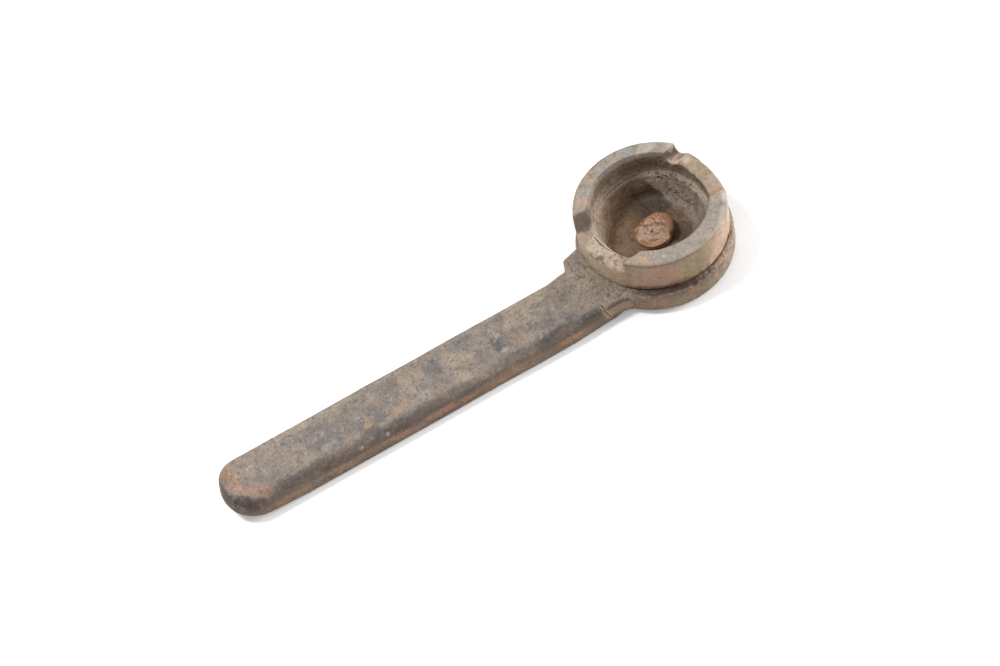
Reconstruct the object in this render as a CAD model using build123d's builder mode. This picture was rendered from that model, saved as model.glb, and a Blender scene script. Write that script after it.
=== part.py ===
from build123d import *
import os

# A hydrant wrench: a jawed cup seated in the head plate of a flat forged handle and held by one rivet.
# The origin is on the cup's axis in the flat underside. The handle runs along -X. Millimetres, degrees.

# Forging: the head plate and the bar are the same stock.
stock_thickness = 12.7
plate_radius = 36.6
plate_centre_x = -1.0  # the plate is forged a little off the cup's axis
plate_centre_y = -2.0
plate_top_round = 1.0
plate_bottom_round = 2.0
web_thickness = 4.0  # metal left under the recess that takes the cup

# Handle bar, which runs off the cup's axis.
bar_width = 29.6
bar_centre_y = -11.8
bar_reach = 230.0  # cup axis to the end of the bar
bar_top_round = 3.4
bar_bottom_round = 2.0
end_bow = 7.0  # how far the bar's end is bowed
end_far_corner_radius = 7.0
end_near_corner_radius = 12.0
end_taper_run = 34.0  # the underside is drawn up towards the end
end_taper_rise = 2.6

# Shank of the head plate, up to the forge weld with the bar. The lengths start at the plate's edge.
ear_length = 6.0
ear_side = 8.8  # the far shoulder's distance from the cup's axis
ear_root_depth = 3.6  # how far inside the plate's edge the shoulder starts
ear_root_side = 11.2
ear_lean = 2.0  # how far the shoulder's foot lies beyond its corner
ear_corner_radius = 1.2
ear_foot_radius = 2.0
waist_run = 5.7  # straight stretch ahead of the plate
waist_depth = 1.4  # how far the near side pulls in ahead of the plate
waist_blend_radius = 9.0
rise_length = 18.4  # where the shank's top starts to climb towards the cup

# Face of the forge weld, which crosses the bar at a slant and leans under the shank.
shank_length = 22.4
seam_far_length = 13.4
seam_near_length = 3.9
seam_lean = 3.0

# Socket cup.
cup_radius = 35.0
rim_height = 33.0
groove_height = 0.95  # open joint between the plate and the cup's lower edge
neck_radius = 31.5
spigot_radius = 29.9
spigot_clearance = 0.1
cup_edge_round = 0.9
throat_radius = 27.0
throat_chamfer = 0.8
ledge_depth = 12.0  # rim to the ledge
ledge_width = 2.6
well_taper = 2.2  # how much the well narrows from the ledge to its floor
well_floor_height = 8.5
well_floor_round = 2.4

# Gaps between the jaws.
gap_count = 2
gap_depth = 5.8
gap_width = 37.6  # at the rim
gap_axis_angle = 7.0
worn_flank_run = 5.6  # how far the sloped flank leans
drive_flank_run = 2.2  # how far the steep flank leans

# Centre rivet, its burr and the drive pins.
rivet_radius = 6.0
rivet_clearance = 0.05
countersink_radius = 9.4
countersink_depth = 3.4
burr_radius = 8.9
burr_thickness = 2.4
burr_round = 0.6
peened_radius = 7.9
peened_height = 4.4
peened_round = 2.0
pin_count = 2
pin_radius = 3.0
pin_clearance = 0.05
pin_circle_radius = 14.0
pin_depth_in_cup = 3.0

# Levels and places that follow.
groove_top = stock_thickness + groove_height
seat_radius = spigot_radius + spigot_clearance
ledge_height = rim_height - ledge_depth
ledge_radius = throat_radius - ledge_width
well_floor_radius = ledge_radius - well_taper
gap_floor_height = rim_height - gap_depth
burr_top = well_floor_height + burr_thickness
rivet_hole_radius = rivet_radius + rivet_clearance
pin_top = web_thickness + pin_depth_in_cup
pin_places = PolarLocations(pin_circle_radius, pin_count, start_angle=90)
bar_far_y = bar_centre_y + bar_width / 2
bar_near_y = bar_centre_y - bar_width / 2
waist_y = bar_near_y + waist_depth
waist_half_chord = (plate_radius**2 - (waist_y - plate_centre_y) ** 2) ** 0.5
waist_corner = (plate_centre_x - waist_half_chord, waist_y)
waist_reach = waist_run - waist_corner[0]
plate_reach = plate_radius - plate_centre_x
ear_root_reach = plate_reach - ear_root_depth
ear_reach = plate_reach + ear_length
rise_foot_reach = plate_reach + rise_length
seam_far_reach = plate_reach + seam_far_length
seam_near_reach = plate_reach + seam_near_length
shank_reach = plate_reach + shank_length
blank_end = shank_reach + stock_thickness  # past the weld's face, which trims it

seam_far = Vector(-seam_far_reach, bar_far_y, stock_thickness)
seam_near = Vector(-seam_near_reach, bar_near_y, stock_thickness)
seam_foot = Vector(-seam_far_reach + seam_lean, bar_far_y, 0)
weld_face = Plane(origin=seam_far, z_dir=(seam_near - seam_far).cross(seam_foot - seam_far))


def nearest_vertex(sketch, point):
    """The corner of a sketch that lies nearest to a point."""
    return sketch.vertices().sort_by_distance(point)[0]


def gap_plane(angle):
    """A plane across one gap, facing out along the gap, with its x to the steep flank."""
    outward = Vector(1, 0, 0).rotate(Axis.Z, angle)
    return Plane(origin=(0, 0, 0), x_dir=Vector(0, 1, 0).rotate(Axis.Z, angle), z_dir=outward)


with BuildPart() as rise:
    # A low wedge on the shank that climbs to the cup's lower edge and closes the groove there.
    with BuildSketch(Plane.XZ):
        Polygon(
            (-rise_foot_reach, stock_thickness),
            (-cup_radius, groove_top),
            (0, groove_top),
            (0, web_thickness),
            (-cup_radius, web_thickness),
            align=None,
        )
    extrude(amount=plate_radius, both=True)
    with BuildSketch():
        Polygon(
            (0, ear_root_side - plate_top_round),
            (-ear_root_reach, ear_root_side - plate_top_round),
            (-ear_reach, ear_side - plate_top_round),
            (-ear_reach, bar_far_y - plate_top_round),
            (-blank_end, bar_far_y - plate_top_round),
            (-blank_end, bar_near_y + plate_top_round),
            (-waist_reach, waist_y + plate_top_round),
            (0, waist_y + plate_top_round),
            align=None,
        )
    extrude(amount=rim_height, mode=Mode.INTERSECT)

with BuildPart() as head_plate:
    # Plan of the round plate and the shank with its far shoulder.
    with BuildSketch() as plate_plan:
        Polygon(
            (0, ear_root_side),
            (-ear_root_reach, ear_root_side),
            (-ear_reach, ear_side),
            (-ear_reach - ear_lean, bar_far_y),
            (-blank_end, bar_far_y),
            (-blank_end, bar_near_y),
            (-shank_reach, bar_near_y),
            (-waist_reach, waist_y),
            (0, waist_y),
            align=None,
        )
        fillet(nearest_vertex(plate_plan, (-ear_reach, ear_side)), ear_corner_radius)
        fillet(nearest_vertex(plate_plan, (-ear_reach - ear_lean, bar_far_y)), ear_foot_radius)
        with Locations((plate_centre_x, plate_centre_y)):
            Circle(plate_radius)
        fillet(nearest_vertex(plate_plan, waist_corner), waist_blend_radius)
    extrude(amount=stock_thickness)
    fillet(head_plate.edges().group_by(Axis.Z)[0], plate_bottom_round)
    fillet(head_plate.edges().group_by(Axis.Z)[-1], plate_top_round)
    add(rise.part)
    # Recess for the cup's spigot, with room for its neck above.
    with Locations((0, 0, web_thickness)):
        Cylinder(seat_radius, rim_height, align=(Align.CENTER, Align.CENTER, Align.MIN), mode=Mode.SUBTRACT)
    with Locations((0, 0, stock_thickness)):
        Cylinder(
            neck_radius + spigot_clearance,
            rim_height,
            align=(Align.CENTER, Align.CENTER, Align.MIN),
            mode=Mode.SUBTRACT,
        )
    # Countersunk hole for the rivet and holes for the drive pins.
    with BuildSketch(Plane.XZ):
        Polygon(
            (0, 0),
            (countersink_radius + rivet_clearance, 0),
            (rivet_hole_radius, countersink_depth),
            (rivet_hole_radius, web_thickness),
            (0, web_thickness),
            align=None,
        )
    revolve(axis=Axis.Z, mode=Mode.SUBTRACT)
    with pin_places:
        Hole(pin_radius + pin_clearance)
    split(bisect_by=weld_face, keep=Keep.TOP)

with BuildPart() as handle_bar:
    with BuildSketch() as bar_plan:
        with BuildLine():
            bow_start = -bar_reach + end_bow
            far_end, near_end = (bow_start, bar_far_y), (bow_start, bar_near_y)
            ThreePointArc(far_end, (-bar_reach, bar_centre_y), near_end)
            shank_side = [(-shank_reach, bar_near_y), (-waist_reach, waist_y), (0, waist_y)]
            Polyline(near_end, *shank_side, (0, bar_far_y), far_end)
        make_face()
        fillet(nearest_vertex(bar_plan, far_end), end_far_corner_radius)
        fillet(nearest_vertex(bar_plan, near_end), end_near_corner_radius)
    extrude(amount=stock_thickness)
    # Side view, with the underside drawn up at the end.
    with BuildSketch(Plane.XZ):
        Polygon(
            (-bar_reach, end_taper_rise),
            (-bar_reach + end_taper_run, 0),
            (0, 0),
            (0, stock_thickness),
            (-bar_reach, stock_thickness),
            align=None,
        )
    extrude(amount=cup_radius, both=True, mode=Mode.INTERSECT)
    fillet(handle_bar.edges().group_by(Axis.Z)[-1], bar_top_round)
    lower_edges = handle_bar.edges().filter_by_position(Axis.Z, 0, end_taper_rise)
    fillet(lower_edges.filter_by(Axis.Y, reverse=True), bar_bottom_round)
    split(bisect_by=weld_face, keep=Keep.BOTTOM)

with BuildPart() as socket_cup:
    # Turned body: spigot, neck, wall, stepped bore and floor.
    with BuildSketch(Plane.XZ) as cup_profile:
        Polygon(
            (rivet_hole_radius, web_thickness),
            (spigot_radius, web_thickness),
            (spigot_radius, stock_thickness),
            (neck_radius, stock_thickness),
            (neck_radius, groove_top),
            (cup_radius, groove_top),
            (cup_radius, rim_height),
            (throat_radius, rim_height),
            (throat_radius, ledge_height),
            (ledge_radius, ledge_height),
            (well_floor_radius, well_floor_height),
            (rivet_hole_radius, well_floor_height),
            align=None,
        )
        fillet(nearest_vertex(cup_profile, (well_floor_radius, well_floor_height)), well_floor_round)
        fillet(nearest_vertex(cup_profile, (cup_radius, rim_height)), cup_edge_round)
        chamfer(nearest_vertex(cup_profile, (throat_radius, rim_height)), throat_chamfer)
    revolve(axis=Axis.Z)
    # Gaps between the jaws.
    for turn in range(gap_count):
        with BuildSketch(gap_plane(gap_axis_angle + turn * 360 / gap_count)):
            Polygon(
                (-gap_width / 2, rim_height),
                (-gap_width / 2 + worn_flank_run, gap_floor_height),
                (gap_width / 2 - drive_flank_run, gap_floor_height),
                (gap_width / 2, rim_height),
                align=None,
            )
        extrude(amount=2 * cup_radius, mode=Mode.SUBTRACT)
    # Blind holes for the drive pins.
    with pin_places:
        with Locations((0, 0, web_thickness)):
            Cylinder(
                pin_radius + pin_clearance,
                pin_depth_in_cup,
                align=(Align.CENTER, Align.CENTER, Align.MIN),
                mode=Mode.SUBTRACT,
            )

with BuildPart() as centre_rivet:
    # Countersunk head below, shank through both floors, peened end above the burr.
    with BuildSketch(Plane.XZ):
        Polygon(
            (0, 0),
            (countersink_radius, 0),
            (rivet_radius, countersink_depth),
            (rivet_radius, burr_top),
            (peened_radius, burr_top),
            (peened_radius, burr_top + peened_height),
            (0, burr_top + peened_height),
            align=None,
        )
    revolve(axis=Axis.Z)
    fillet(centre_rivet.edges().group_by(Axis.Z)[-1], peened_round)

with BuildPart() as rivet_burr:
    # Ring between the cup's floor and the peened end.
    with BuildSketch(Plane.XY.offset(well_floor_height)):
        Circle(burr_radius)
        Circle(rivet_hole_radius, mode=Mode.SUBTRACT)
    extrude(amount=burr_thickness)
    top_edges = rivet_burr.edges().filter_by(GeomType.CIRCLE).group_by(Axis.Z)[-1]
    fillet(top_edges.sort_by(SortBy.LENGTH)[-1], burr_round)

pieces = {
    "head_plate": head_plate.part,
    "handle_bar": handle_bar.part,
    "socket_cup": socket_cup.part,
    "centre_rivet": centre_rivet.part,
    "rivet_burr": rivet_burr.part,
}

# Drive pins: dowels through the web into the cup's floor, flush with the underside.
for number, place in enumerate(pin_places, start=1):
    with BuildPart(place) as drive_pin:
        Cylinder(pin_radius, pin_top, align=(Align.CENTER, Align.CENTER, Align.MIN))
    pieces[f"drive_pin_{number}"] = drive_pin.part

os.makedirs("parts", exist_ok=True)
for name, piece in pieces.items():
    piece.label = name
    export_step(piece, f"parts/{name}.step")
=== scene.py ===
import math

import bmesh
import bpy
import numpy as np
from mathutils import Matrix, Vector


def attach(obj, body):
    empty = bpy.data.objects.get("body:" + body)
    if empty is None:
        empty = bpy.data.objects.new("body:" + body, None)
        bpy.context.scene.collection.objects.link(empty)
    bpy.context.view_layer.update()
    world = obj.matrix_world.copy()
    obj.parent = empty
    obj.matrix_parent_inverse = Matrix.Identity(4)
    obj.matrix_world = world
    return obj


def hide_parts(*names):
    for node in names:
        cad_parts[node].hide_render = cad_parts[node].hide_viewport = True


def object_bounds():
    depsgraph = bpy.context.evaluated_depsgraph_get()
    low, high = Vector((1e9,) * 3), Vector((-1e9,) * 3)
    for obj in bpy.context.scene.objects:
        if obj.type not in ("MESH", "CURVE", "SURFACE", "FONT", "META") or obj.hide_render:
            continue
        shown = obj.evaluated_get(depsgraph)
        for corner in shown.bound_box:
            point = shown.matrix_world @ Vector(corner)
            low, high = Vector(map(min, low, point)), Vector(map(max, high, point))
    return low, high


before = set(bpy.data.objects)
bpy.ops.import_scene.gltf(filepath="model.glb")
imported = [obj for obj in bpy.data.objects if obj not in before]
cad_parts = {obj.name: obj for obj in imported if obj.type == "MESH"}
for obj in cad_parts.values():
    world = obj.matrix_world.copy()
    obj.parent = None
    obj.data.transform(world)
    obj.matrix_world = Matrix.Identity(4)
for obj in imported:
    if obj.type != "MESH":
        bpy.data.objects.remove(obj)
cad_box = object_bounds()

# Shapes are worked out in millimetres and handed to Blender in metres.
MM = 0.001
STOCK = 12.7  # thickness of the plate and the bar
RIM = 33.0
CUP_RADIUS = 35.0
GROOVE_TOP = 13.65  # the open joint between the cup and the plate lies from STOCK up to here
BORE = 27.0
LEDGE = 21.0
WELL_FLOOR = 8.5
GAP_FLOOR = 27.2
SEAT = 4.0  # height of the floor that the cup's spigot stands on
RIVET_HOLE, PIN_HOLE = 6.05, 3.05
PIN_SIDE = 14  # how far each drive pin is from the axis
NEAR_GAP, FAR_GAP = 187.0, 7.0
CORNER_POINTS = 9
FORGING_STEP = 0.4  # cell sizes of the surface nets
CUP_STEP = 0.36
LUMP_STEP = 0.22
INSIDE_BOX = 0.02  # how far the meshes stay inside the solids' box


# ------------ noise, ramps and places
def lattice(ix, iy, iz, seed):
    """Repeatable numbers from -1 to 1 at whole-number places."""
    n = ix.astype(np.uint32) * np.uint32(374761393)
    n = n + iy.astype(np.uint32) * np.uint32(668265263)
    n = n + iz.astype(np.uint32) * np.uint32(2246822519)
    n = n + np.uint32(seed * 3266489917 & 0xFFFFFFFF)
    n = (n ^ (n >> np.uint32(15))) * np.uint32(2246822519)
    n = (n ^ (n >> np.uint32(13))) * np.uint32(3266489917)
    n = n ^ (n >> np.uint32(16))
    return n.astype(np.float64) / 2147483648.0 - 1.0


def noise(p, size, seed):
    """Smooth noise from -1 to 1 at points p, with bumps about size across."""
    q = p / size
    base = np.floor(q)
    t = q - base
    t = t * t * (3.0 - 2.0 * t)
    i = base.astype(np.int64)
    total = np.zeros(len(p))
    for corner in range(8):
        dx, dy, dz = corner & 1, corner >> 1 & 1, corner >> 2
        weight = (t[:, 0] if dx else 1 - t[:, 0]) * (t[:, 1] if dy else 1 - t[:, 1])
        weight = weight * (t[:, 2] if dz else 1 - t[:, 2])
        total += weight * lattice(i[:, 0] + dx, i[:, 1] + dy, i[:, 2] + dz, seed)
    return total


def layered(p, size, seed, layers=3):
    """Several sizes of noise added up."""
    total = np.zeros(len(p))
    for n in range(layers):
        total += noise(p, size / 2**n, seed + 17 * n) / 2**n
    return total / (2 - 0.5 ** (layers - 1))


def polar(x, y):
    """Distance from the cup's axis and the angle round it in degrees."""
    return np.hypot(x, y), np.degrees(np.arctan2(y, x))


def at(angle, radius, z=RIM):
    """A place given by its angle round the cup's axis, its distance from it and its height."""
    return (radius * math.cos(math.radians(angle)), radius * math.sin(math.radians(angle)), z)


def ramp(low, high, v):
    """0 below low, 1 above high and smooth between."""
    t = np.clip((v - low) / (high - low), 0, 1)
    return t * t * (3 - 2 * t)


# ------------ distance functions
def both(a, b, radius):
    """What two solids share, with its edge rounded."""
    over = np.sqrt(np.maximum(a + radius, 0) ** 2 + np.maximum(b + radius, 0) ** 2)
    return np.minimum(np.maximum(a, b), -radius) + over


def outline(corners):
    """A closed outline whose corners (x, y, radius) are rounded."""
    points = []
    for n, (x, y, radius) in enumerate(corners):
        here = np.array((x, y), float)
        if radius <= 0:
            points.append(here)
            continue
        back = np.array(corners[n - 1][:2]) - here
        on = np.array(corners[(n + 1) % len(corners)][:2]) - here
        back, on = back / np.linalg.norm(back), on / np.linalg.norm(on)
        half = math.acos(np.clip(back @ on, -1, 1)) / 2
        middle = (back + on) / np.linalg.norm(back + on)
        centre = here + middle * radius / math.sin(half)
        start, end = here + back * radius / math.tan(half), here + on * radius / math.tan(half)
        first = math.atan2(*(start - centre)[::-1])
        turn = (math.atan2(*(end - centre)[::-1]) - first + math.pi) % (2 * math.pi) - math.pi
        for t in np.linspace(0, 1, CORNER_POINTS):
            angle = first + turn * t
            points.append(centre + radius * np.array((math.cos(angle), math.sin(angle))))
    return np.array(points)


def arc(cx, cy, radius, first, last, count):
    """Points on an arc, angles in degrees."""
    return [
        (cx + radius * math.cos(a), cy + radius * math.sin(a), 0)
        for a in np.radians(np.linspace(first, last, count))
    ]


def flat_distance(px, py, loop):
    """Distance in a plane to a closed outline, negative inside."""
    nearest = np.full(px.shape, 1e9)
    inside = np.zeros(px.shape, bool)
    for (ax, ay), (bx, by) in zip(loop, np.roll(loop, -1, axis=0)):
        ex, ey = bx - ax, by - ay
        if ex == 0 and ey == 0:
            continue
        t = np.clip(((px - ax) * ex + (py - ay) * ey) / (ex * ex + ey * ey), 0, 1)
        nearest = np.minimum(nearest, (px - ax - t * ex) ** 2 + (py - ay - t * ey) ** 2)
        if ey != 0:
            inside ^= ((ay > py) != (by > py)) & (px < ax + ex * (py - ay) / ey)
    return np.where(inside, -1, 1) * np.sqrt(nearest)


def line_distance(x, y, z, points):
    """Distance to a broken line in space."""
    nearest = 1e9
    for a, b in zip(points[:-1], points[1:]):
        a, e = np.array(a, float), np.array(b, float) - np.array(a, float)
        t = np.clip(((x - a[0]) * e[0] + (y - a[1]) * e[1] + (z - a[2]) * e[2]) / (e @ e), 0, 1)
        square = (x - a[0] - t * e[0]) ** 2 + (y - a[1] - t * e[1]) ** 2 + (z - a[2] - t * e[2]) ** 2
        nearest = np.minimum(nearest, square)
    return np.sqrt(nearest)


def surface_net(distance, low, high, step):
    """Quads over a solid's surface: one point for each cell that the surface crosses."""
    low = np.array(low, float)
    axes = [np.arange(low[n], high[n] + step, step) for n in range(3)]
    field = distance(*np.meshgrid(*axes, indexing="ij", sparse=True)).astype(np.float32)
    inside = field < 0
    corners = [np.array(c) for c in np.ndindex(2, 2, 2)]
    spans = np.array(inside.shape) - 1
    count = sum(inside[tuple(slice(a, a + n) for a, n in zip(c, spans))].astype(np.int8) for c in corners)
    active = (count > 0) & (count < 8)
    cells = np.argwhere(active)
    index = np.full(active.shape, -1, np.int64)
    index[active] = np.arange(len(cells))
    total, hits = np.zeros((len(cells), 3)), np.zeros(len(cells))
    for here in corners:
        a = field[tuple((cells + here).T)]
        for axis in np.flatnonzero(here == 0):
            there = here.copy()
            there[axis] = 1
            b = field[tuple((cells + there).T)]
            crosses = (a < 0) != (b < 0)
            t = np.where(crosses, a / np.where(a == b, 1, a - b), 0)
            spot = np.tile(here.astype(float), (len(cells), 1))
            spot[:, axis] += t
            total += spot * crosses[:, None]
            hits += crosses
    points = low + (cells + total / hits[:, None]) * step
    quads = []
    for axis in range(3):
        b, c = (axis + 1) % 3, (axis + 2) % 3
        near = [slice(1, -1)] * 3
        near[axis] = slice(None, -1)
        far = list(near)
        far[axis] = slice(1, None)
        first, second = inside[tuple(near)], inside[tuple(far)]
        places = np.argwhere(first != second)
        out = first[tuple(places.T)]
        places[:, b] += 1
        places[:, c] += 1
        ring = []
        for db, dc in ((-1, -1), (0, -1), (0, 0), (-1, 0)):
            cell = places.copy()
            cell[:, b] += db
            cell[:, c] += dc
            ring.append(index[tuple(cell.T)])
        ring = np.array(ring).T
        quads.append(np.where(out[:, None], ring, ring[:, ::-1]))
    return points, np.concatenate(quads)


def normals_of(points, quads):
    """Outward directions at the points."""
    a, b, c, d = (points[quads[:, n]] for n in range(4))
    across = np.cross(c - a, d - b)
    total = np.zeros_like(points)
    for n in range(4):
        for axis in range(3):
            total[:, axis] += np.bincount(quads[:, n], across[:, axis], len(points))
    return total / np.maximum(np.linalg.norm(total, axis=1), 1e-12)[:, None]


def relaxed(points, quads):
    """Points moved halfway to the middle of their neighbours."""
    first, second = np.concatenate([quads[:, [n, (n + 1) % 4]] for n in range(4)]).T
    count = np.bincount(first, minlength=len(points)) + np.bincount(second, minlength=len(points))
    middle = np.zeros_like(points)
    for axis in range(3):
        middle[:, axis] = np.bincount(first, points[second, axis], len(points))
        middle[:, axis] += np.bincount(second, points[first, axis], len(points))
    return points * 0.5 + middle / count[:, None] * 0.5


def pin_holes(x, y):
    """Distance to the nearer of the drive pins' two holes."""
    return np.minimum(np.hypot(x, y - PIN_SIDE), np.hypot(x, y + PIN_SIDE)) - PIN_HOLE


# ------------ the forging: plate, shank and bar
PLATE_X, PLATE_Y, PLATE_RADIUS = -1.0, -2.0, 36.6
BAR_FAR, BAR_NEAR = 3.0, -26.6  # the bar's two edges
FORGING_OUTLINE = outline(
    arc(PLATE_X, PLATE_Y, PLATE_RADIUS, 224.9, 519.3, 90)
    + [
        (-43.6, 8.8, 1.1),
        (-45.6, BAR_FAR, 2.2),
        (-226.5, BAR_FAR, 7.5),
        (-230.9, -11.8, 20),
        (-225.5, BAR_NEAR, 12.5),
        (-58, BAR_NEAR, 30),
        (-40, -25.3, 15),
    ]
    + arc(-33.28, -34.2, 9.0, 90, 46, 8)
)

CRACK = [(-41.7, -23.2, 13.0), (-41.0, -24.9, 11.9), (-41.3, -25.4, 10.4), (-40.0, -25.5, 6.9), (-38.9, -25.4, 4.4)]
CREASE = [(-29.4, -26.2, 12.9), (-28.2, -27.2, 11.2), (-25.8, -28.7, 9.2), (-25.4, -29.0, 6.0)]
PITS = [(-31.0, -25.9, 12.9), (-30.6, -25.8, 12.7)]


def forging_distance(x, y, z):
    """Plate, shank and bar as one body, with the cup's seat, the rivet's hole and the crack."""
    flat = flat_distance(x + 0 * y, y + 0 * x, FORGING_OUTLINE)
    radius, angle = polar(x, y)
    on_shank = np.maximum(ramp(-139, -152, angle), ramp(150, 165, angle))
    top_height = STOCK + (GROOVE_TOP - STOCK) * on_shank * ramp(56, 35.5, radius)
    on_bar = np.where(y > -12, ramp(-47, -58, x), ramp(-41.2, -43.6, x))
    top_round = 1.0 + 2.5 * on_bar + 2.4 * ramp(-216, -228, x)
    low_round = 2.1 + 2.6 * ramp(-212, -226, x) + 2.3 * ramp(-37, -30, x) + 0 * y
    lift = 2.6 * np.clip((-196 - x) / 34, 0, 1)
    side = flat + 0.22 * on_bar * ramp(8.4, 9.6, z) - 0.15 * on_bar * ramp(3.5, 8, z)
    near_shank = ramp(-45, -41, x) * ramp(-26, -30, x) * ramp(-20, -22, y)
    side = side + 0.35 * near_shank * ramp(9.7, 10.4, z)
    top_round = top_round + 1.6 * near_shank * (1 - on_bar)
    body = both(side, z - top_height, top_round)
    body = both(body, lift - z, low_round)
    seat = np.maximum(radius - 30.0, SEAT - z)
    neck = np.maximum(radius - 31.6, STOCK - z)
    sink = np.maximum(radius - np.maximum(RIVET_HOLE, 9.45 - z), -1 - z)
    body = np.maximum(body, -np.minimum(np.minimum(seat, neck), sink))
    body = np.maximum(body, -pin_holes(x, y))
    body = np.maximum(body, 0.42 - line_distance(x, y, z, CRACK))
    body = np.maximum(body, 0.34 - line_distance(x, y, z, CREASE))
    return np.maximum(body, 0.9 - line_distance(x, y, z, PITS))


# ------------ the cup
def cup_outline(*wall):
    """The cup cut through its axis, with the well's wall given from the rim down."""
    base = [(RIVET_HOLE, SEAT, 0), (29.9, SEAT, 0), (29.9, STOCK, 0), (31.5, STOCK, 0), (31.5, GROOVE_TOP, 0)]
    outside = [(CUP_RADIUS, GROOVE_TOP, 0.5), (CUP_RADIUS, RIM, 0), (BORE, RIM, 0)]
    return outline(base + outside + [*wall, (RIVET_HOLE, WELL_FLOOR, 0)])


LEDGED = cup_outline((BORE, LEDGE, 1.4), (24.4, LEDGE, 0.9), (22.2, WELL_FLOOR, 3.4))
WORN_SMOOTH = cup_outline((BORE, 27.5, 5), (24.3, 18.6, 6), (22.2, WELL_FLOOR, 2.4))
# Each gap's flanks: across the gap at 22 and 34 mm from the axis, at the rim and at the gap's floor.
GAPS = (
    {
        "angle": FAR_GAP,
        "steep": (18.0, 18.5, 16.0, 18.9),
        "worn": (-17.0, -18.4, -11.4, -13.4),
        "floor": ((-18, -4, 5, 9, 12, 15), (26.9, 26.7, 27.3, 28.2, 28.7, 28.2)),
    },
    {
        "angle": NEAR_GAP,
        "steep": (18.8, 20.2, 16.2, 17.6),
        "worn": (-16.4, -19.2, -10.2, -11.6),
        "floor": ((-16, -10, 0, 8, 16), (26.3, 26.7, 26.9, 26.6, 26.9)),
    },
)
# Bites out of the cup's edges: angle round the axis, distance from it, height and size.
CHIPS = (
    (-171, 35.5, 25.5, 0.9),
    (-162, 35.3, 27.4, 1.9),
    (-155, 34.6, 28.0, 1.4),
    (-149, 35.6, 27.2, 1.1),
    (-144, 36.0, 28.2, 1.3),
    (-141, 35.5, 29.4, 1.4),
    (152, 35.6, 31.6, 1.0),
    (157, 35.5, 29.5, 1.1),
    (166, 35.7, 27.6, 1.0),
    (-27, 35.9, 32.8, 1.6),
    (38, 35.6, 31.8, 1.0),
    (-170, 26.6, 27.3, 0.8),
    (-163, 26.7, 27.4, 0.9),
)
RIM_CRACK = [(-28.4, 1.9, 27.0), (-28.2, -3.0, 26.9), (-27.3, -6.6, 26.8), (-25.7, -10.0, 26.6)]


def table_lookup(table, low, step, a, b):
    """Values read between the places of a two-way table."""
    a, b = np.broadcast_arrays((a - low[0]) / step, (b - low[1]) / step)
    i = np.clip(a.astype(int), 0, table.shape[0] - 2)
    j = np.clip(b.astype(int), 0, table.shape[1] - 2)
    s, t = a - i, b - j
    return (
        table[i, j] * (1 - s) * (1 - t)
        + table[i + 1, j] * s * (1 - t)
        + table[i, j + 1] * (1 - s) * t
        + table[i + 1, j + 1] * s * t
    )


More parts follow.
